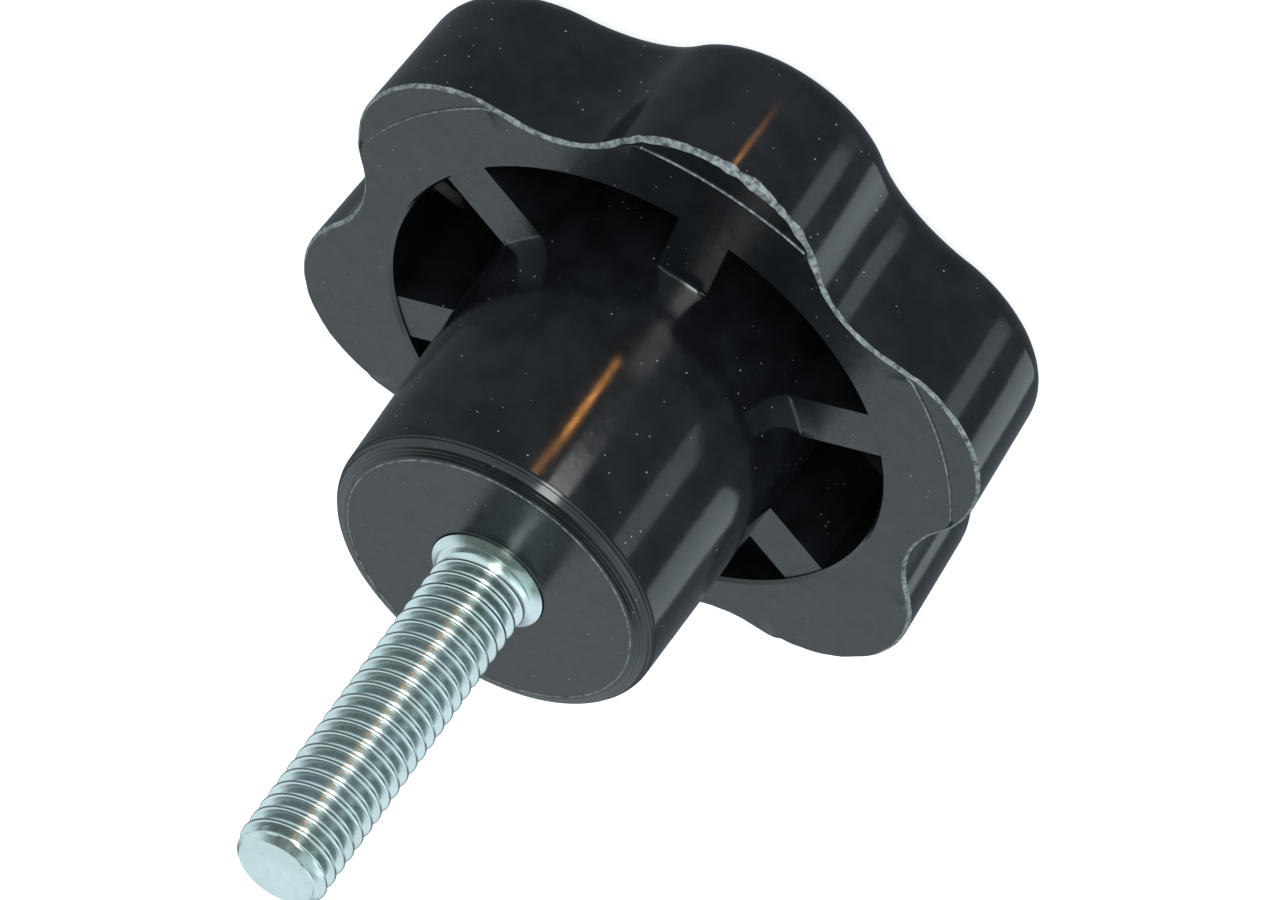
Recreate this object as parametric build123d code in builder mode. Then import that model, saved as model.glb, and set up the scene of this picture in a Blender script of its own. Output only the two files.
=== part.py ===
"""Star knob screw: a six-lobed moulded knob with a steel stud moulded into its hub.

All sizes are in millimetres. The part stands on its crown: z = 0 is the crown's flat, the axis of
the stud is +Z, and one lobe points along -Y.
"""
from build123d import *
from math import atan2, cos, degrees, radians, sqrt, tan
import os

# ---------------------------------------------------------------- driving dimensions

# head: the lobed disc that the hand turns
head_diameter = 45.7        # across the tips of two opposite lobes
head_height = 11.0          # crown flat to the underside of the rim
lobe_count = 6
lobe_depth = 3.95           # lobe tip to the bottom of a flute, along a radius
flute_to_lobe = 0.85        # radius of a flute's arc over the radius of a lobe's arc
head_draft = 3.0            # degrees that the side leans in, from the rim to the crown
crown_radius = 110.0        # ball radius of the shallow crown
crown_flat_diameter = 24.0  # flat in the middle of the crown
crown_round = 2.2           # round between the side and the crown

# underside of the head
rim_wall = 2.7              # from a flute's bottom to the edge of the recess
seam_inset = 2.15           # from a lobe's tip in to the mould's step under the rim
seam_step = 0.12            # height of that step
pocket_depth = 8.0          # depth of the six pockets round the hub
pocket_draft = 1.5          # degrees that the pocket's walls lean
rib_width = 3.3             # one rib for each lobe
rib_drop = 0.3              # the ribs lie this far below the rim
recess_bevel = 0.2          # bevel along the recess's edge

# hub
hub_diameter = 20.8         # at its end face
hub_length = 16.9           # underside of the rim to the end face
hub_draft = 1.3             # degrees that the hub widens towards the rim
hub_edge_round = 1.1        # round at the end face

# stud: the crest surface of an M6 x 1 thread, with its root collar
stud_diameter = 5.88        # over the thread's crests
stud_length = 23.6          # end face of the hub to the tip
tip_chamfer = 0.5
collar_diameter = 7.3
collar_land = 0.35          # straight part of the collar
collar_height = 1.1         # collar and the cone that runs down to the thread

# insert: the buried end of the stud
shank_length = 8.0          # end face of the hub to the insert's head
insert_flats = 10.0         # across the flats of the hexagonal head
insert_head_height = 4.0
insert_gap = 0.02           # the moulding stands this far off the insert's sides

# ---------------------------------------------------------------- worked out from them

head_radius = head_diameter / 2
flute_radius = head_radius - lobe_depth
recess_radius = flute_radius - rim_wall
seam_radius = head_radius - seam_inset
rim_plane = head_height
rib_plane = rim_plane - rib_drop
hub_face = rim_plane + hub_length
hub_radius = hub_diameter / 2
stud_radius = stud_diameter / 2
collar_radius = collar_diameter / 2
stud_tip = hub_face + stud_length
insert_head_top = hub_face - shank_length
lobe_pitch = 360 / lobe_count
first_lobe = -90            # degrees: this lobe points along -Y
outside = head_radius + 2   # any radius clear of the head


def polar(radius, angle):
    """A point at a radius and an angle in degrees about the axis."""
    return Vector(radius, 0).rotate(Axis.Z, angle)


def lobe_arc_radius():
    """Radius of a lobe's arc that meets the flutes' arcs smoothly.

    The lobe's centre is head_radius - a out, and the flute's centre flute_radius + s * a out, half
    a pitch away. The arcs are tangent where those centres lie (1 + s) * a apart.
    """
    s = flute_to_lobe
    k = cos(radians(lobe_pitch / 2))
    square = 2 * s * (k - 1)
    linear = 2 * (flute_radius * (s + k) - head_radius * (1 + k * s))
    constant = head_radius**2 + flute_radius**2 - 2 * k * head_radius * flute_radius
    return (-linear - sqrt(linear**2 - 4 * square * constant)) / (2 * square)


def arcs_meeting_point():
    """Where the arc of the lobe at angle 0 runs into the next flute's arc."""
    lobe_arc = lobe_arc_radius()
    lobe_centre = polar(head_radius - lobe_arc, 0)
    flute_centre = polar(flute_radius + flute_to_lobe * lobe_arc, lobe_pitch / 2)
    return lobe_centre + (flute_centre - lobe_centre) * (1 / (1 + flute_to_lobe))


def rings(builder, radius, height):
    """The round edges about the axis that have this radius and lie at this height."""
    level = builder.edges().filter_by(GeomType.CIRCLE).filter_by_position(Axis.Z, height, height)
    return level.filter_by(lambda edge: abs(edge.radius - radius) < 0.01)


def buried_insert(gap):
    """The insert inside the hub: a plain shank above a hexagonal head, grown sideways by gap."""
    with BuildPart() as insert:
        with BuildSketch(Plane.XY.offset(insert_head_top - insert_head_height)):
            RegularPolygon(insert_flats / 2 + gap, 6, major_radius=False)
        extrude(amount=insert_head_height)
        with BuildSketch(Plane.XY.offset(insert_head_top)):
            Circle(collar_radius + gap)
        extrude(amount=shank_length)
    return insert.part


# ---------------------------------------------------------------- knob: one moulding

hub_root_radius = hub_radius + (hub_face - rib_plane) * tan(radians(hub_draft))
meet = arcs_meeting_point()
meet_angle = degrees(atan2(meet.Y, meet.X))

# the crown's ball surface, from the edge of its flat out past the head
flat_radius = crown_flat_diameter / 2
ball_centre = sqrt(crown_radius**2 - flat_radius**2)
crown_rise = ball_centre - sqrt(crown_radius**2 - outside**2)

insert_space = buried_insert(gap=insert_gap)

with BuildPart() as knob:
    # the lobed head, leaning in towards its crown
    with BuildSketch(Plane.XY.offset(rim_plane)):
        with BuildLine():
            for lobe in range(lobe_count):
                turn = first_lobe + lobe * lobe_pitch
                lobe_start = polar(meet.length, turn - meet_angle)
                lobe_end = polar(meet.length, turn + meet_angle)
                next_start = polar(meet.length, turn + lobe_pitch - meet_angle)
                ThreePointArc(lobe_start, polar(head_radius, turn), lobe_end)
                ThreePointArc(lobe_end, polar(flute_radius, turn + lobe_pitch / 2), next_start)
        make_face()
    extrude(amount=head_height, dir=(0, 0, -1), taper=head_draft)

    # the shallow crown
    with BuildSketch(Plane.XZ):
        with BuildLine():
            Line((0, 0), (flat_radius, 0))
            RadiusArc((flat_radius, 0), (outside, crown_rise), -crown_radius)
            Line((outside, crown_rise), (outside, rim_plane))
            Line((outside, rim_plane), (0, rim_plane))
            Line((0, rim_plane), (0, 0))
        make_face()
    revolve(axis=Axis.Z, mode=Mode.INTERSECT)
    crown = knob.faces().filter_by(GeomType.SPHERE).sort_by(SortBy.AREA)[-1]
    fillet(crown.outer_wire().edges(), radius=crown_round)

    # the mould's step under the lobes
    with BuildSketch(Plane.XY.offset(rim_plane)):
        Circle(outside)
        Circle(seam_radius, mode=Mode.SUBTRACT)
    extrude(amount=-seam_step, mode=Mode.SUBTRACT)

    # the shallow recess that the ribs lie in, with its bevelled edge
    with BuildSketch(Plane.XY.offset(rim_plane)):
        Circle(recess_radius)
    extrude(amount=-rib_drop, mode=Mode.SUBTRACT)
    chamfer(rings(knob, recess_radius, rim_plane), length=recess_bevel)

    # the hub, with a round at its end face
    with BuildSketch(Plane.XY.offset(rib_plane)):
        Circle(hub_root_radius)
    extrude(amount=hub_face - rib_plane, taper=hub_draft)
    hub_edge = knob.edges().filter_by(GeomType.CIRCLE).sort_by(Axis.Z)[-1]
    fillet(hub_edge, radius=hub_edge_round)

    # six pockets round the hub, parted by the ribs
    with BuildSketch(Plane.XY.offset(rib_plane)):
        Circle(recess_radius)
        Circle(hub_root_radius, mode=Mode.SUBTRACT)
        with PolarLocations(0, lobe_count, start_angle=first_lobe):
            Rectangle(
                recess_radius + rib_width,
                rib_width,
                align=(Align.MIN, Align.CENTER),
                mode=Mode.SUBTRACT,
            )
    extrude(amount=-pocket_depth, taper=pocket_draft, mode=Mode.SUBTRACT)

    # the space that the insert fills
    add(insert_space, mode=Mode.SUBTRACT)

# ---------------------------------------------------------------- threaded stud: one steel piece

insert = buried_insert(gap=0)

with BuildPart() as threaded_stud:
    with BuildSketch(Plane.XZ):
        with BuildLine():
            Polyline(
                (0, hub_face),
                (collar_radius, hub_face),
                (collar_radius, hub_face + collar_land),
                (stud_radius, hub_face + collar_height),
                (stud_radius, stud_tip - tip_chamfer),
                (stud_radius - tip_chamfer, stud_tip),
                (0, stud_tip),
                close=True,
            )
        make_face()
    revolve(axis=Axis.Z)
    add(insert)

# ---------------------------------------------------------------- write each piece

knob.part.label = "knob"
threaded_stud.part.label = "threaded_stud"

os.makedirs("parts", exist_ok=True)
export_step(knob.part, "parts/knob.step")
export_step(threaded_stud.part, "parts/threaded_stud.step")
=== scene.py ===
"""Looks of the star knob screw: the moulded knob, its trimmed parting line, and the threaded stud.

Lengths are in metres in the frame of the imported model: the knob stands on its crown, and the stud
points along +Z. The knob's own sizes are written in millimetres and turned into metres by MM.
"""
import math

import bmesh
import bpy
from mathutils import Matrix, Vector, noise


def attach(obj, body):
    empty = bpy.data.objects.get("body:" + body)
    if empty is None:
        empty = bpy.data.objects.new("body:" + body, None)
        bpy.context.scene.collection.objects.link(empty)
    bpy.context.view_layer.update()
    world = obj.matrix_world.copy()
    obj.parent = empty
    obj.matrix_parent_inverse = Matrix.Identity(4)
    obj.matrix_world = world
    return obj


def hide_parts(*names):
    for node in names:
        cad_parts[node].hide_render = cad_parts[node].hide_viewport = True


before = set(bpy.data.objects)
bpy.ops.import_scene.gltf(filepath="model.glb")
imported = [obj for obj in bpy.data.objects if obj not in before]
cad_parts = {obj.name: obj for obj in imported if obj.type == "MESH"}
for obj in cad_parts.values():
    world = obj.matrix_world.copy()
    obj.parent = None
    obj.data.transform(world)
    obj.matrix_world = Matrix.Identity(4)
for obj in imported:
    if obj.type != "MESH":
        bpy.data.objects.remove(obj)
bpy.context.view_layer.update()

MM = 0.001

# ---------------------------------------------------------------- sizes of the knob, in millimetres

LOBES = 6
HEAD_RADIUS = 22.85
FLUTE_RADIUS = 18.9
FLUTE_TO_LOBE = 0.85
HEAD_LEAN = math.radians(3.0)
CROWN_RADIUS = 110.0
CROWN_FLAT = 12.0
CROWN_ROUND = 2.2
RIM = 11.0
SEAM_RADIUS = 20.7
SEAM_STEP = 0.12
RECESS_RADIUS = 16.2
RECESS_BEVEL = 0.2
RIB_PLANE = RIM - 0.3
RIB_WIDTH = 3.3
POCKET_DEPTH = 8.0
POCKET_LEAN = math.radians(1.5)
POCKET_ROUND = 0.5      # how far the floor's edge is drawn in
HUB_FACE = 27.9
HUB_RADIUS = 10.4
HUB_LEAN = math.radians(1.3)
HUB_ROUND = 1.1
HUB_ROOT = HUB_RADIUS + (HUB_FACE - RIB_PLANE) * math.tan(HUB_LEAN)

STUD_TIP = 51.5
CREST_RADIUS = 2.94
ROOT_RADIUS = 2.34
PITCH = 1.0
TIP_CHAMFER = 0.5
COLLAR_RADIUS = 3.65
SHANK_BOTTOM = 19.9
INSERT_BOTTOM = 15.9
INSERT_FLATS = 10.0
INSERT_GAP = 0.02

# ---------------------------------------------------------------- rings of points round the axis

RIB_STEPS = 12          # points across one rib
POCKET_STEPS = 48       # points across one pocket
SECTOR = RIB_STEPS + POCKET_STEPS
RING = LOBES * SECTOR
FIRST_LOBE = -90.0


def sector_angle(index, rib_half_angle):
    """Degrees round the axis of ring point index, with the ribs' edges at rib_half_angle."""
    lobe, step = divmod(index, SECTOR)
    start = FIRST_LOBE + lobe * 360 / LOBES - rib_half_angle
    if step <= RIB_STEPS:
        return start + 2 * rib_half_angle * step / RIB_STEPS
    pocket = 360 / LOBES - 2 * rib_half_angle
    return start + 2 * rib_half_angle + pocket * (step - RIB_STEPS) / POCKET_STEPS


def rib_half_angle(radius):
    return math.degrees(math.asin(RIB_WIDTH / 2 / radius))


OUTER_ANGLES = [sector_angle(i, rib_half_angle(RECESS_RADIUS)) for i in range(RING)]
INNER_ANGLES = [sector_angle(i, rib_half_angle(HUB_ROOT)) for i in range(RING)]


def lobe_arc_radius():
    """Radius of a lobe's arc that runs smoothly into the flutes' arcs."""
    s = FLUTE_TO_LOBE
    k = math.cos(math.pi / LOBES)
    square = 2 * s * (k - 1)
    linear = 2 * (FLUTE_RADIUS * (s + k) - HEAD_RADIUS * (1 + k * s))
    constant = HEAD_RADIUS**2 + FLUTE_RADIUS**2 - 2 * k * HEAD_RADIUS * FLUTE_RADIUS
    return (-linear - math.sqrt(linear**2 - 4 * square * constant)) / (2 * square)


LOBE_ARC = lobe_arc_radius()
FLUTE_ARC = FLUTE_TO_LOBE * LOBE_ARC
LOBE_CENTRE = HEAD_RADIUS - LOBE_ARC
FLUTE_CENTRE = FLUTE_RADIUS + FLUTE_ARC


def star_radius(angle, inset):
    """Radius of the lobed outline, moved inwards by inset, in a direction given in degrees."""
    half_pitch = 180 / LOBES
    off_lobe = abs((angle - FIRST_LOBE + half_pitch) % (2 * half_pitch) - half_pitch)
    share = (LOBE_ARC - inset) / (LOBE_ARC + FLUTE_ARC)
    flute_x = FLUTE_CENTRE * math.cos(math.radians(half_pitch))
    flute_y = FLUTE_CENTRE * math.sin(math.radians(half_pitch))
    meet_x = LOBE_CENTRE + (flute_x - LOBE_CENTRE) * share
    meet_angle = math.degrees(math.atan2(flute_y * share, meet_x))
    if off_lobe <= meet_angle:
        off = math.radians(off_lobe)
        across = LOBE_CENTRE * math.sin(off)
        return LOBE_CENTRE * math.cos(off) + math.sqrt((LOBE_ARC - inset) ** 2 - across**2)
    off = math.radians(half_pitch - off_lobe)
    across = FLUTE_CENTRE * math.sin(off)
    return FLUTE_CENTRE * math.cos(off) - math.sqrt((FLUTE_ARC + inset) ** 2 - across**2)


def crown_height(radius):
    """Height of the crown's ball surface over its flat."""
    return math.sqrt(CROWN_RADIUS**2 - CROWN_FLAT**2) - math.sqrt(CROWN_RADIUS**2 - radius**2)


def place(angle, radius, height):
    turn = math.radians(angle)
    return Vector((radius * math.cos(turn), radius * math.sin(turn), height)) * MM


def ring_at(angles, radius, height):
    """A round ring, where radius and height are numbers or functions of the angle."""
    r = radius if callable(radius) else lambda angle: radius
    z = height if callable(height) else lambda angle: height
    return [place(a, r(a), z(a)) for a in angles]


def start_ring(bm, places):
    """An ordered ring of vertices, started from a plain circle."""
    made = bmesh.ops.create_circle(bm, segments=len(places), radius=1)["verts"]
    ring = [made[0]]
    before = None
    while len(ring) < len(places):
        nearby = [e.other_vert(ring[-1]) for e in ring[-1].link_edges]
        step = next(v for v in nearby if v is not before)
        before = ring[-1]
        ring.append(step)
    for vert, spot in zip(ring, places):
        vert.co = spot
    return ring


def next_ring(bm, ring, places, closed=True):
    """Extrude a row of vertices and put the new row at places."""
    pairs = list(zip(ring, ring[1:] + ring[:1])) if closed else list(zip(ring, ring[1:]))
    edges = [bm.edges.get(pair) for pair in pairs]
    made = set(bmesh.ops.extrude_edge_only(bm, edges=edges)["geom"])
    row = []
    for vert, spot in zip(ring, places):
        twin = next(e.other_vert(vert) for e in vert.link_edges if e.other_vert(vert) in made)
        twin.co = spot
        row.append(twin)
    return row


def cap(bm, ring):
    """Close a ring with one flat face."""
    bmesh.ops.contextual_create(bm, geom=[bm.edges.get(p) for p in zip(ring, ring[1:] + ring[:1])])


def finish_mesh(name, bm, materials, merge=0.0005 * MM, smooth_angle=28):
    bmesh.ops.remove_doubles(bm, verts=bm.verts, dist=merge)
    bmesh.ops.recalc_face_normals(bm, faces=bm.faces)
    mesh = bpy.data.meshes.new(name)
    bm.to_mesh(mesh)
    bm.free()
    for material in materials:
        mesh.materials.append(material)
    mesh.shade_smooth()
    mesh.set_sharp_from_angle(angle=math.radians(smooth_angle))
    piece = bpy.data.objects.new(name, mesh)
    bpy.context.scene.collection.objects.link(piece)
    return piece


# ---------------------------------------------------------------- materials


class Nodes:
    """A new material's node tree, with its Principled shader."""

    def __init__(self, name):
        self.material = bpy.data.materials.new(name)
        self.material.use_nodes = True
        self.tree = self.material.node_tree
        self.shader = self.tree.nodes["Principled BSDF"]
        self.place = self.tree.nodes.new("ShaderNodeTexCoord").outputs["Object"]

    def add(self, kind, inputs=(), **settings):
        node = self.tree.nodes.new(kind)
        for key, value in settings.items():
            setattr(node, key, value)
        for key, value in dict(inputs).items():
            if isinstance(value, bpy.types.NodeSocket):
                self.tree.links.new(value, node.inputs[key])
            else:
                node.inputs[key].default_value = value
        return node

    def noise(self, scale, detail=4, roughness=0.55):
        inputs = {"Scale": scale, "Detail": detail, "Roughness": roughness, "Vector": self.place}
        return self.add("ShaderNodeTexNoise", inputs).outputs["Fac"]

    def spread(self, value, low, high, to_low, to_high):
        inputs = {"Value": value, "From Min": low, "From Max": high, "To Min": to_low, "To Max": to_high}
        return self.add("ShaderNodeMapRange", inputs).outputs["Result"]

    def mix(self, share, first, second):
        node = self.add("ShaderNodeMix", {"Factor": share}, data_type="RGBA")
        for socket, colour in ((node.inputs[6], first), (node.inputs[7], second)):
            if isinstance(colour, bpy.types.NodeSocket):
                self.tree.links.new(colour, socket)
            else:
                socket.default_value = colour
        return node.outputs[2]

    def bump(self, height, strength, distance, after=None):
        inputs = {"Height": height, "Strength": strength, "Distance": distance}
        if after is not None:
            inputs["Normal"] = after
        return self.add("ShaderNodeBump", inputs).outputs["Normal"]

    def link(self, value, socket):
        self.tree.links.new(value, self.shader.inputs[socket])


def specks(n, scale, size):
    """A mask of small round specks of dust, scattered thinly."""
    cells = n.add("ShaderNodeTexVoronoi", {"Vector": n.place, "Scale": scale})
    dot = n.spread(cells.outputs["Distance"], size, size * 0.4, 0, 1)
    patch = n.spread(n.noise(scale * 0.31, 3), 0.49, 0.56, 0, 1)
    chosen = n.add("ShaderNodeMath", {0: dot, 1: patch}, operation="MULTIPLY")
    return chosen.outputs[0]


def turned_rings(n):
    """The mould's fine turning marks, as rings round the axis over the grain already there."""
    settings = {"wave_type": "RINGS", "rings_direction": "Z", "wave_profile": "SIN"}
    inputs = {"Vector": n.place, "Scale": 1050, "Distortion": 1.5, "Detail": 2, "Detail Scale": 0.4}
    rings = n.add("ShaderNodeTexWave", inputs, **settings).outputs["Fac"]
    below = n.shader.inputs["Normal"].links[0].from_socket
    n.link(n.bump(rings, 0.35, 0.000004, below), "Normal")


def resin(name, roughness, grain, turned=False):
    """Black moulded resin: glossy, with a faint orange peel and a few specks of dust."""
    n = Nodes(name)
    cloud = n.noise(420, 3)
    dust = specks(n, 1300, 0.085)
    base = n.mix(n.spread(cloud, 0.4, 0.62, 0, 1), (0.0045, 0.005, 0.006, 1), (0.008, 0.009, 0.011, 1))
    n.link(n.mix(dust, base, (0.28, 0.30, 0.31, 1)), "Base Color")
    n.link(n.spread(n.noise(1500, 4), 0.3, 0.7, roughness * 0.8, roughness * 1.3), "Roughness")
    peel = n.bump(n.noise(700, 3), grain, 0.00006)
    n.link(n.bump(n.noise(5200, 2), grain * 0.6, 0.00001, peel), "Normal")
    if turned:
        turned_rings(n)
    n.shader.inputs["IOR"].default_value = 1.56
    return n.material


def trimmed_resin_and_highlight():
    """The parting line where the flash was rubbed off: torn, matt and light grey; the same pale colour is
    also a painted highlight on the seam step and on the ridge ring of the hub's face.
    """
    n = Nodes("trimmed_resin_and_highlight")
    torn = n.noise(2600, 6, 0.7)
    dark, pale_trim_and_highlight = (0.03, 0.034, 0.036, 1), (0.30, 0.33, 0.33, 1)
    n.link(n.mix(n.spread(torn, 0.36, 0.62, 0, 1), dark, pale_trim_and_highlight), "Base Color")
    n.shader.inputs["Roughness"].default_value = 0.62
    n.link(n.bump(torn, 0.9, 0.0001), "Normal")
    return n.material


def zinc(name):
    """Bright zinc plating with the faint blue and green of its passivation."""
    n = Nodes(name)
    tint = n.noise(260, 3)
    cool = n.mix(n.spread(tint, 0.35, 0.65, 0, 1), (0.64, 0.72, 0.69, 1), (0.70, 0.79, 0.79, 1))
    n.link(cool, "Base Color")
    n.shader.inputs["Metallic"].default_value = 1.0
    n.link(n.spread(n.noise(2400, 4), 0.3, 0.7, 0.17, 0.28), "Roughness")
    n.link(n.bump(n.noise(4200, 3), 0.14, 0.00002), "Normal")
    return n.material


# ---------------------------------------------------------------- the knob

TRIM_DEPTH = 0.20       # usual leg of the trimmed corner
# The third material is the pale trimmed flash, and is also used as a painted highlight on the seam step and
# the hub's ridge ring.
GLOSS, SATIN, TRIM_AND_HIGHLIGHT = range(3)


def trim_leg(angle):
    """Leg of the trimmed corner, rougher and wider on the lobe that points along -Y."""
    turn = math.radians(angle)
    ragged = noise.fractal(Vector((math.cos(turn), math.sin(turn), 0.3)) * 26, 1.0, 2.1, 5)
    near = math.exp(-(((angle - FIRST_LOBE + 180) % 360 - 180) / 17) ** 2)
    return TRIM_DEPTH * (1 + 0.28 * ragged) + 0.20 * near * (1 + 0.9 * ragged)


def rim_height(angle):
    """The rim's underside: under the lobes, outside the seam, it lies one step lower."""
    past_seam = (star_radius(angle, TRIM_DEPTH) - SEAM_RADIUS) / 0.15
    return RIM - SEAM_STEP * min(max(past_seam, 0), 1)


def crown_corner(angle):
    """Section of the round between the side and the crown: pairs of inset and height."""
    inset = (RIM - 1.5) * math.tan(HEAD_LEAN)
    height = crown_height(star_radius(angle, inset))
    inset = (RIM - height) * math.tan(HEAD_LEAN)
    slope = math.asin(star_radius(angle, inset) / CROWN_RADIUS)
    turn = math.pi / 2 - HEAD_LEAN - slope
    along = CROWN_ROUND * math.tan(turn / 2)
    start = (inset - along * math.sin(HEAD_LEAN), height + along * math.cos(HEAD_LEAN))
    centre = (start[0] + CROWN_ROUND * math.cos(HEAD_LEAN), start[1] + CROWN_ROUND * math.sin(HEAD_LEAN))
    section = []
    for step in range(ROUND_STEPS + 1):
        lean = HEAD_LEAN + turn * step / ROUND_STEPS
        section.append((centre[0] - CROWN_ROUND * math.cos(lean), centre[1] - CROWN_ROUND * math.sin(lean)))
    return section


ROUND_STEPS = 9
HUB_ROUND_STEPS = 18
TURNED_RINGS = (3, 6, 7, 11, 14)
TURNED_RING_DEPTH = 0.03
RIDGE_RADIUS = 9.25
RIDGE_HEIGHT = 0.04
CROWN_RINGS = 10
RIB_RINGS = 5
RIB_FOOT = (                    # how far the foot's round stands out, and its height over the rib
    (0.24, 0), (0.10, 0.07), (0.03, 0.17), (0, 0.30),
)


def head_rings():
    """Rings from the crown's flat, round the side and under the rim to the ribs' plane."""
    corners = [crown_corner(a) for a in OUTER_ANGLES]
    rings = [ring_at(OUTER_ANGLES, CROWN_FLAT, 0.0)]
    for step in range(1, CROWN_RINGS):
        share = step / CROWN_RINGS
        ring = []
        for angle, corner in zip(OUTER_ANGLES, corners):
            end_radius = star_radius(angle, corner[-1][0])
            radius = CROWN_FLAT + (end_radius - CROWN_FLAT) * share
            ring.append(place(angle, radius, crown_height(radius)))
        rings.append(ring)
    for step in range(ROUND_STEPS, -1, -1):
        spots = [(a, corner[step]) for a, corner in zip(OUTER_ANGLES, corners)]
        rings.append([place(a, star_radius(a, inset), height) for a, (inset, height) in spots])
    for share in (0.35, 0.7):
        ring = []
        for angle, corner in zip(OUTER_ANGLES, corners):
            height = corner[0][1] + (rim_height(angle) - corner[0][1]) * share
            ring.append(place(angle, star_radius(angle, (RIM - height) * math.tan(HEAD_LEAN)), height))
        rings.append(ring)
    legs = [trim_leg(a) for a in OUTER_ANGLES]
    side = []
    under = []
    for angle, leg in zip(OUTER_ANGLES, legs):
        top = rim_height(angle)
        side.append(place(angle, star_radius(angle, (RIM - top + leg) * math.tan(HEAD_LEAN)), top - leg))
        under.append(place(angle, star_radius(angle, leg), top))
    rings += [side, under]
    seam = [min(SEAM_RADIUS, star_radius(a, trim_leg(a) + 0.15)) for a in OUTER_ANGLES]
    rings.append([place(a, r + 0.02, rim_height(a)) for a, r in zip(OUTER_ANGLES, seam)])
    rings.append([place(a, r - 0.02, RIM) for a, r in zip(OUTER_ANGLES, seam)])
    for share in (0.4, 0.75):
        inner = RECESS_RADIUS + RECESS_BEVEL
        rings.append([place(a, r + (inner - r) * share, RIM) for a, r in zip(OUTER_ANGLES, seam)])
    rings.append(ring_at(OUTER_ANGLES, RECESS_RADIUS + RECESS_BEVEL, RIM))
    rings.append(ring_at(OUTER_ANGLES, RECESS_RADIUS, RIM - RECESS_BEVEL))
    rings.append(ring_at(OUTER_ANGLES, RECESS_RADIUS, RIB_PLANE))
    return rings


def on_rib(index):
    """1 where a ring point lies on a rib, running out to 0 at the rib's edges."""
    step = index % SECTOR
    return min(1, 0.5 * min(step, RIB_STEPS - step)) if step < RIB_STEPS else 0


def hub_rings():
    """Rings up the hub from the ribs' plane, over its end face and into the insert's space."""
    angles = INNER_ANGLES
    rings = []
    for stands_out, rise in RIB_FOOT:
        radius = HUB_ROOT - rise * math.tan(HUB_LEAN)
        spots = enumerate(angles)
        rings.append([place(a, radius + stands_out * on_rib(i), RIB_PLANE + rise) for i, a in spots])
    round_start = HUB_FACE - HUB_ROUND * (1 - math.sin(HUB_LEAN))
    at_start = HUB_RADIUS + (HUB_FACE - round_start) * math.tan(HUB_LEAN)
    for share in (0.3, 0.65):
        height = RIB_PLANE + (round_start - RIB_PLANE) * share
        rings.append(ring_at(angles, HUB_RADIUS + (HUB_FACE - height) * math.tan(HUB_LEAN), height))
    centre = at_start - HUB_ROUND * math.cos(HUB_LEAN)
    for step in range(HUB_ROUND_STEPS + 1):
        lean = HUB_LEAN + (math.pi / 2 - HUB_LEAN) * step / HUB_ROUND_STEPS
        reach = HUB_ROUND - (TURNED_RING_DEPTH if step in TURNED_RINGS else 0)
        height = HUB_FACE - HUB_ROUND + reach * math.sin(lean)
        rings.append(ring_at(angles, centre + reach * math.cos(lean), height))
    for offset, rise in ((0.05, 0), (0.02, RIDGE_HEIGHT), (-0.02, RIDGE_HEIGHT), (-0.05, 0)):
        rings.append(ring_at(angles, RIDGE_RADIUS + offset, HUB_FACE + rise))
    for share in (0.35, 0.7):
        radius = RIDGE_RADIUS + (COLLAR_RADIUS - RIDGE_RADIUS) * share
        rings.append(ring_at(angles, radius, HUB_FACE))
    bore = COLLAR_RADIUS + INSERT_GAP
    rings.append(ring_at(angles, bore, HUB_FACE))
    rings.append(ring_at(angles, bore, SHANK_BOTTOM))
    for height in (SHANK_BOTTOM, INSERT_BOTTOM):
        rings.append(ring_at(angles, lambda a: hexagon_radius(a, INSERT_FLATS / 2 + INSERT_GAP), height))
    return rings


def hexagon_radius(angle, apothem):
    return apothem / math.cos(math.radians((angle + 30) % 60 - 30))


def loft(bm, rings):
    """Run a skin through a list of rings; gives the first and the last ring's vertices."""
    first = start_ring(bm, rings[0])
    row = first
    for places in rings[1:]:
        row = next_ring(bm, row, places)
    return first, row


def add_ribs(bm, hub_ring, recess_ring):
    """Bridge the hub to the recess's wall with the ribs' flat tops."""
    for lobe in range(LOBES):
        span = range(lobe * SECTOR, lobe * SECTOR + RIB_STEPS + 1)
        row = [hub_ring[i] for i in span]
        inner = [hub_ring[i].co.copy() for i in span]
        outer = [recess_ring[i].co.copy() for i in span]
        for step in range(1, RIB_RINGS + 1):
            share = step / RIB_RINGS
            row = next_ring(bm, row, [a.lerp(b, share) for a, b in zip(inner, outer)], closed=False)


def pocket_floor_spot(co):
    """Where a point of a pocket's mouth lies on its floor, moved in by the walls' lean."""
    lean = POCKET_DEPTH * math.tan(POCKET_LEAN)
    x, y = co.x / MM, co.y / MM
    radius = math.hypot(x, y)
    angle = math.degrees(math.atan2(y, x))
    lobe_angle = FIRST_LOBE + round((angle - FIRST_LOBE) / 60) * 60
    off = math.radians(angle - lobe_angle)
    along, across = radius * math.cos(off), radius * math.sin(off)
    if abs(abs(across) - RIB_WIDTH / 2) < 0.02:
        across += math.copysign(lean, across)
    radius = math.hypot(along, across)
    if radius > RECESS_RADIUS - 0.1:
        along, across = along * (RECESS_RADIUS - lean) / radius, across * (RECESS_RADIUS - lean) / radius
    elif radius < HUB_ROOT + 0.1:
        along, across = along * (HUB_ROOT + lean) / radius, across * (HUB_ROOT + lean) / radius
    turn = math.radians(lobe_angle)
    x = along * math.cos(turn) - across * math.sin(turn)
    y = along * math.sin(turn) + across * math.cos(turn)
    return Vector((x, y, RIB_PLANE - POCKET_DEPTH)) * MM


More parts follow.
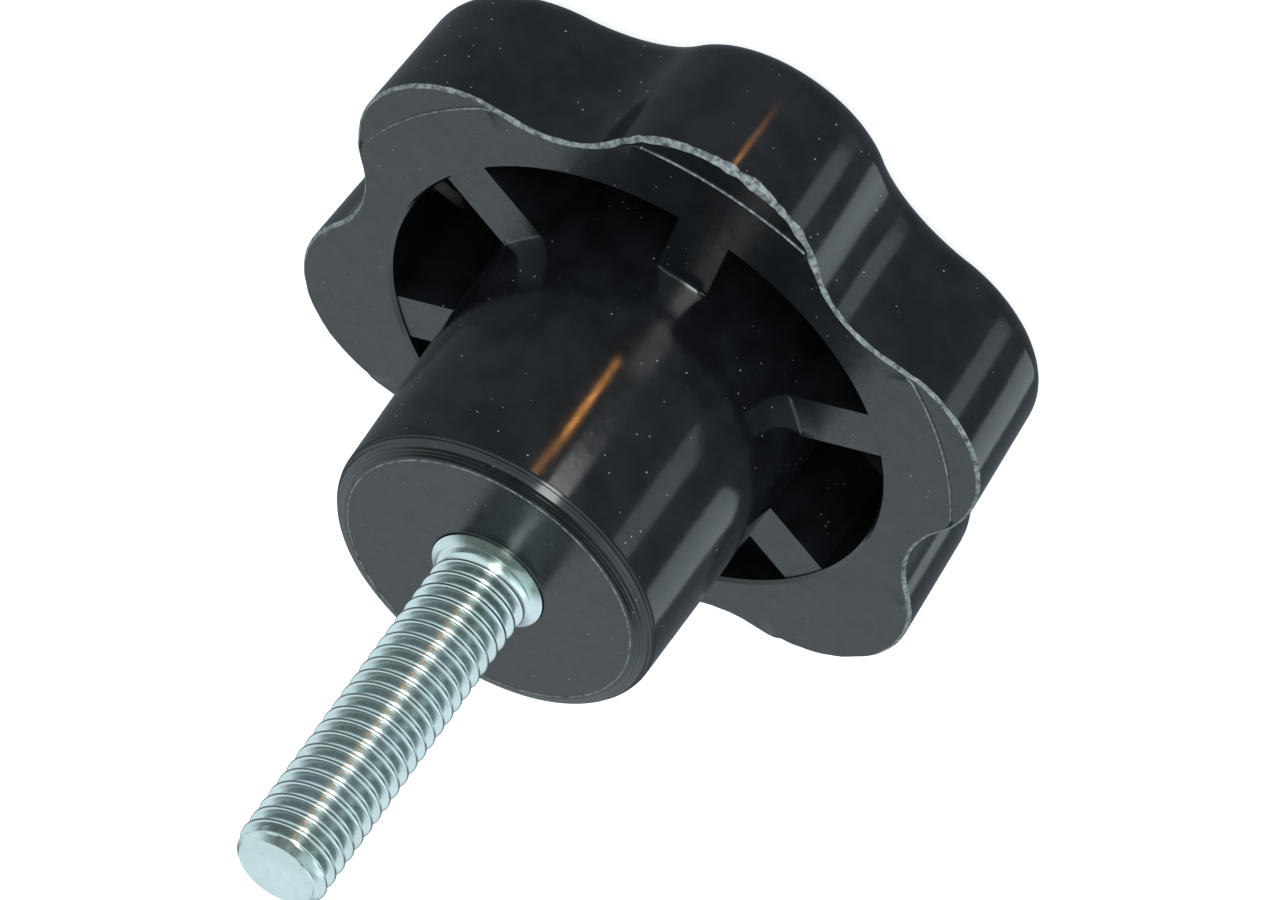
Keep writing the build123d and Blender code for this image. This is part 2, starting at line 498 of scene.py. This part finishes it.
def ordered_loops(edges):
    """Sort boundary edges into closed loops of vertices."""
    left = set(edges)
    loops = []
    while left:
        edge = left.pop()
        loop = [edge.verts[0], edge.verts[1]]
        while True:
            onward = [e for e in loop[-1].link_edges if e in left]
            if not onward:
                break
            left.remove(onward[0])
            loop.append(onward[0].other_vert(loop[-1]))
        loops.append(loop[:-1] if loop[0] is loop[-1] else loop)
    return loops


def add_pockets(bm):
    """Sink the six pockets from the open loops that the ribs leave."""
    level = RIB_PLANE * MM
    mouths = [e for e in bm.edges if e.is_boundary and all(abs(v.co.z - level) < 1e-6 for v in e.verts)]
    for loop in ordered_loops(mouths):
        top = [v.co.copy() for v in loop]
        floor = [pocket_floor_spot(co) for co in top]
        row = loop
        for share in (0.3, 0.65, 0.94):
            row = next_ring(bm, row, [a.lerp(b, share) for a, b in zip(top, floor)])
        middle = sum(floor, Vector()) / len(floor)
        row = next_ring(bm, row, [s + (middle - s).normalized() * POCKET_ROUND * MM for s in floor])
        cap(bm, row)


def knob_material_index(face):
    """Gloss on the sides and the crown, satin on what faces the stud's tip."""
    centre = face.calc_center_median() / MM
    radius = math.hypot(centre.x, centre.y)
    angle = math.degrees(math.atan2(centre.y, centre.x))
    on_trim = centre.z > rim_height(angle) - 0.62 and radius > star_radius(angle, 0.45)
    slanted = 0.25 < face.normal.z < 0.93
    if on_trim and slanted:
        return TRIM_AND_HIGHLIGHT
    # Painted highlight: the seam step gets the pale trimmed colour to stand for the bright line along its
    # edge.
    if abs(centre.z - RIM + SEAM_STEP / 2) < SEAM_STEP / 2 - 0.005 and abs(radius - SEAM_RADIUS) < 0.03:
        return TRIM_AND_HIGHLIGHT
    # Painted highlight: the ridge ring on the hub's face gets the pale trimmed colour to stand for the
    # bright line along its lit side.
    if abs(radius - RIDGE_RADIUS) < 0.045 and centre.z > HUB_FACE:
        return TRIM_AND_HIGHLIGHT
    if face.normal.z > 0.85:
        return SATIN
    return GLOSS


def make_knob():
    bm = bmesh.new()
    crown_flat, recess_ring = loft(bm, head_rings())
    cap(bm, crown_flat)
    hub_ring, insert_floor = loft(bm, hub_rings())
    cap(bm, insert_floor)
    add_ribs(bm, hub_ring, recess_ring)
    bmesh.ops.remove_doubles(bm, verts=bm.verts, dist=0.0005 * MM)
    add_pockets(bm)
    bmesh.ops.recalc_face_normals(bm, faces=bm.faces)
    bm.normal_update()
    for face in bm.faces:
        face.material_index = knob_material_index(face)
    gloss = resin("gloss_resin", 0.12, 0.10)
    satin = resin("satin_resin", 0.22, 0.22, turned=True)
    materials = [gloss, satin, trimmed_resin_and_highlight()]
    knob = finish_mesh("knob_body", bm, materials)
    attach(knob, "root")
    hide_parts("knob")
    return knob


# ---------------------------------------------------------------- the stud

TURN_STEPS = 120
THREAD_START = HUB_FACE + 0.15
RUN_OUT = 1.1
CREST_AT = HUB_FACE + 2.26      # height of one crest in the direction CREST_ANGLE
CREST_ANGLE = -95.5
THREAD_SHAPE = (                # radius over the root and height, within one pitch
    (0.60, 0.045), (0.59, 0.085), (0.56, 0.125), (0.50, 0.170), (0.43, 0.210), (0.12, 0.370),
    (0.05, 0.41), (0.0, 0.5), (0.05, 0.59), (0.12, 0.630), (0.43, 0.790), (0.50, 0.830),
    (0.56, 0.875), (0.59, 0.915), (0.60, 0.955),
)
FLARE_TOP = 1.30                # where the root collar's flare runs out, over the hub's face
FLARE_LIP = 0.13
FLARE_RINGS = 12


def flare(rise):
    """How far the collar stands out over the crests at a height over the hub's face."""
    share = min(max((FLARE_TOP - rise) / (FLARE_TOP - FLARE_LIP), 0), 1)
    return (COLLAR_RADIUS - CREST_RADIUS) * share**2.6


def stud_limit(radius, height):
    """Keep the thread under the tip's chamfer, and let its groove run out at the collar."""
    lead = CREST_RADIUS - TIP_CHAMFER + (STUD_TIP - height)
    run_out = min(max((THREAD_START + RUN_OUT - height) / RUN_OUT, 0), 1)
    grooved = radius + (CREST_RADIUS - radius) * run_out * run_out * (3 - 2 * run_out)
    return min(grooved + 0.94 * flare(height - HUB_FACE), lead)


def add_thread(bm):
    """Spin the thread's outline round once while it climbs one pitch."""
    turns = math.ceil((STUD_TIP - THREAD_START) / PITCH) + 3
    low = CREST_AT - PITCH * math.ceil((CREST_AT - THREAD_START) / PITCH + 2)
    row = []
    for turn in range(turns):
        for rise, step in THREAD_SHAPE:
            spot = place(CREST_ANGLE, ROOT_RADIUS + rise, low + (turn + step) * PITCH)
            row.append(bm.verts.new(spot))
    edges = [bm.edges.new(pair) for pair in zip(row, row[1:])]
    climb = Vector((0, 0, PITCH * MM / TURN_STEPS))
    bmesh.ops.spin(
        bm, geom=row + edges, cent=(0, 0, 0), axis=(0, 0, 1), dvec=climb, angle=2 * math.pi,
        steps=TURN_STEPS, use_merge=False,
    )
    bmesh.ops.remove_doubles(bm, verts=bm.verts, dist=0.002 * MM)
    for level, keep_above in ((STUD_TIP, False), (HUB_FACE + 0.5, True)):
        bmesh.ops.bisect_plane(
            bm, geom=bm.verts[:] + bm.edges[:] + bm.faces[:], plane_co=(0, 0, level * MM),
            plane_no=(0, 0, 1), clear_outer=not keep_above, clear_inner=keep_above,
        )
    for vert in bm.verts:
        radius = math.hypot(vert.co.x, vert.co.y)
        wanted = stud_limit(radius / MM, vert.co.z / MM) * MM
        vert.co.x *= wanted / radius
        vert.co.y *= wanted / radius
    bmesh.ops.holes_fill(bm, edges=[e for e in bm.edges if e.is_boundary], sides=0)


def add_collar_and_insert(bm):
    """The flared root collar, and the plain shank and hexagonal head inside the hub."""
    angles = [i * 360 / 96 for i in range(96)]
    rises = [FLARE_TOP + (FLARE_LIP - FLARE_TOP) * i / FLARE_RINGS for i in range(FLARE_RINGS + 1)]
    rings = [
        *(ring_at(angles, CREST_RADIUS - 0.32 * rise + flare(rise), HUB_FACE + rise) for rise in rises),
        ring_at(angles, COLLAR_RADIUS, SHANK_BOTTOM),
        ring_at(angles, lambda a: hexagon_radius(a, INSERT_FLATS / 2), SHANK_BOTTOM),
        ring_at(angles, lambda a: hexagon_radius(a, INSERT_FLATS / 2), INSERT_BOTTOM),
    ]
    first, last = loft(bm, rings)
    cap(bm, first)
    cap(bm, last)


def make_stud():
    bm = bmesh.new()
    add_thread(bm)
    add_collar_and_insert(bm)
    stud = finish_mesh("stud", bm, [zinc("zinc_plating")], merge=0.0001 * MM, smooth_angle=44)
    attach(stud, "root")
    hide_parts("threaded_stud")
    return stud


# ---------------------------------------------------------------- floor, light and camera

CAMERA_AIM = Vector((-3.356, -6.688, 19.289)) * MM
CAMERA_DISTANCE = 566.8 * MM
CAMERA_AZIMUTH = math.radians(-5.48)
CAMERA_HEIGHT = math.radians(33.09)
CAMERA_ROLL = math.radians(-144.24)
CAMERA_LENS = 281.25


def look_along(azimuth, height):
    """Unit vector from the object towards an azimuth, 0 at -Y, and an elevation."""
    return Vector((
        math.sin(azimuth) * math.cos(height), -math.cos(azimuth) * math.cos(height), math.sin(height),
    ))


def make_camera():
    data = bpy.data.cameras.new("camera")
    data.lens = CAMERA_LENS
    data.sensor_width = 36
    data.clip_start = 0.01
    data.clip_end = 10
    camera = bpy.data.objects.new("camera", data)
    bpy.context.scene.collection.objects.link(camera)
    back = look_along(CAMERA_AZIMUTH, CAMERA_HEIGHT)
    upright = back.to_track_quat("Z", "Y").to_matrix().to_4x4()
    stands = Matrix.Translation(CAMERA_AIM + back * CAMERA_DISTANCE)
    camera.matrix_world = stands @ upright @ Matrix.Rotation(CAMERA_ROLL, 4, "Z")
    bpy.context.scene.camera = camera


def area_light(name, azimuth, height, distance, size, radiance, colour=(1, 1, 1), target=(0, 0, 0.018)):
    """A soft panel that faces the object; radiance is how bright the panel itself looks."""
    data = bpy.data.lights.new(name, "AREA")
    data.shape = "RECTANGLE"
    data.size, data.size_y = size
    data.energy = radiance * math.pi * size[0] * size[1]
    data.color = colour
    lamp = bpy.data.objects.new(name, data)
    bpy.context.scene.collection.objects.link(lamp)
    toward = look_along(math.radians(azimuth), math.radians(height))
    facing = toward.to_track_quat("Z", "Y").to_matrix().to_4x4()
    lamp.matrix_world = Matrix.Translation(Vector(target) + toward * distance) @ facing
    return lamp


FLOOR_DROP = -0.00005   # clear of the crown's flat
STRIP_DISTANCE = 0.12   # from the stud's axis, in metres
WARM = (1.0, 0.42, 0.10)
COOL = (0.80, 0.95, 1.0)


def strip_light(name, azimuth, low, high, width, radiance, colour):
    """An upright strip beside the knob; low and high are its ends' heights in millimetres."""
    middle = Vector((0, 0, (low + high) / 2 * MM))
    size = (width * MM, (high - low) * MM)
    return area_light(name, azimuth, 0, STRIP_DISTANCE, size, radiance, colour, middle)


def make_surroundings():
    """A bright sky dome over a dark room, with a soft edge between the two."""
    world = bpy.data.worlds.new("studio")
    world.use_nodes = True
    tree = world.node_tree
    toward = tree.nodes.new("ShaderNodeTexCoord").outputs["Generated"]
    parts = tree.nodes.new("ShaderNodeSeparateXYZ")
    tree.links.new(toward, parts.inputs[0])
    ramp = tree.nodes.new("ShaderNodeValToRGB")
    stops = ramp.color_ramp.elements
    stops[0].position, stops[0].color = 0.40, (0.15, 0.18, 0.20, 1)
    stops[1].position, stops[1].color = 0.60, (0.88, 1.01, 1.08, 1)
    for position, colour in ((0.80, (0.84, 0.98, 1.04, 1)), (0.88, (0.12, 0.15, 0.14, 1))):
        stops.new(position).color = colour
    lift = tree.nodes.new("ShaderNodeMapRange")
    lift.inputs["From Min"].default_value = -1
    tree.links.new(parts.outputs["Z"], lift.inputs["Value"])
    tree.links.new(lift.outputs["Result"], ramp.inputs["Fac"])
    background = tree.nodes["Background"]
    tree.links.new(ramp.outputs["Color"], background.inputs["Color"])
    background.inputs["Strength"].default_value = 1.0
    bpy.context.scene.world = world


def make_studio():
    make_surroundings()
    area_light("near_band", -61.5, -33, 0.35, (0.085, 0.12), 0.85, COOL)
    area_light("side_band", -111, -34, 0.35, (0.15, 0.14), 0.95, COOL)
    area_light("side_fill", -80, 48, 0.5, (0.42, 0.42), 0.55, (0.72, 0.96, 1.0))
    area_light("front_lamp", -5, 20, 0.5, (0.11, 0.60), 7.5, (0.98, 1.0, 1.0))
    strip_light("warm_hub_strip", 7.5, -45.5, -38.5, 7, 20, WARM)
    strip_light("warm_lobe_strip", 7.5, -75, -69, 7, 10, WARM)
    strip_light("warm_stud_strip", 9, -34, -27, 10, 4, WARM)
    strip_light("cool_stud_strip", -8, -36, -20, 30, 3, (1, 1, 1))
    floor = bpy.data.meshes.new("floor")
    bm = bmesh.new()
    bmesh.ops.create_grid(bm, x_segments=1, y_segments=1, size=3)
    bmesh.ops.translate(bm, vec=(0, 0, FLOOR_DROP), verts=bm.verts)
    bm.to_mesh(floor)
    bm.free()
    n = Nodes("pale_floor")
    n.link(n.mix(n.noise(30), (0.90, 0.91, 0.92, 1), (0.94, 0.95, 0.96, 1)), "Base Color")
    n.shader.inputs["Emission Color"].default_value = (1, 1, 1, 1)
    n.shader.inputs["Emission Strength"].default_value = 0.7
    n.shader.inputs["Roughness"].default_value = 0.9
    n.shader.inputs["Specular IOR Level"].default_value = 0.0
    floor.materials.append(n.material)
    ground = bpy.data.objects.new("floor", floor)
    bpy.context.scene.collection.objects.link(ground)
    ground.visible_glossy = False
    ground.visible_shadow = False
    bpy.context.scene.view_settings.view_transform = "Standard"


make_knob()
make_stud()
make_studio()
make_camera()
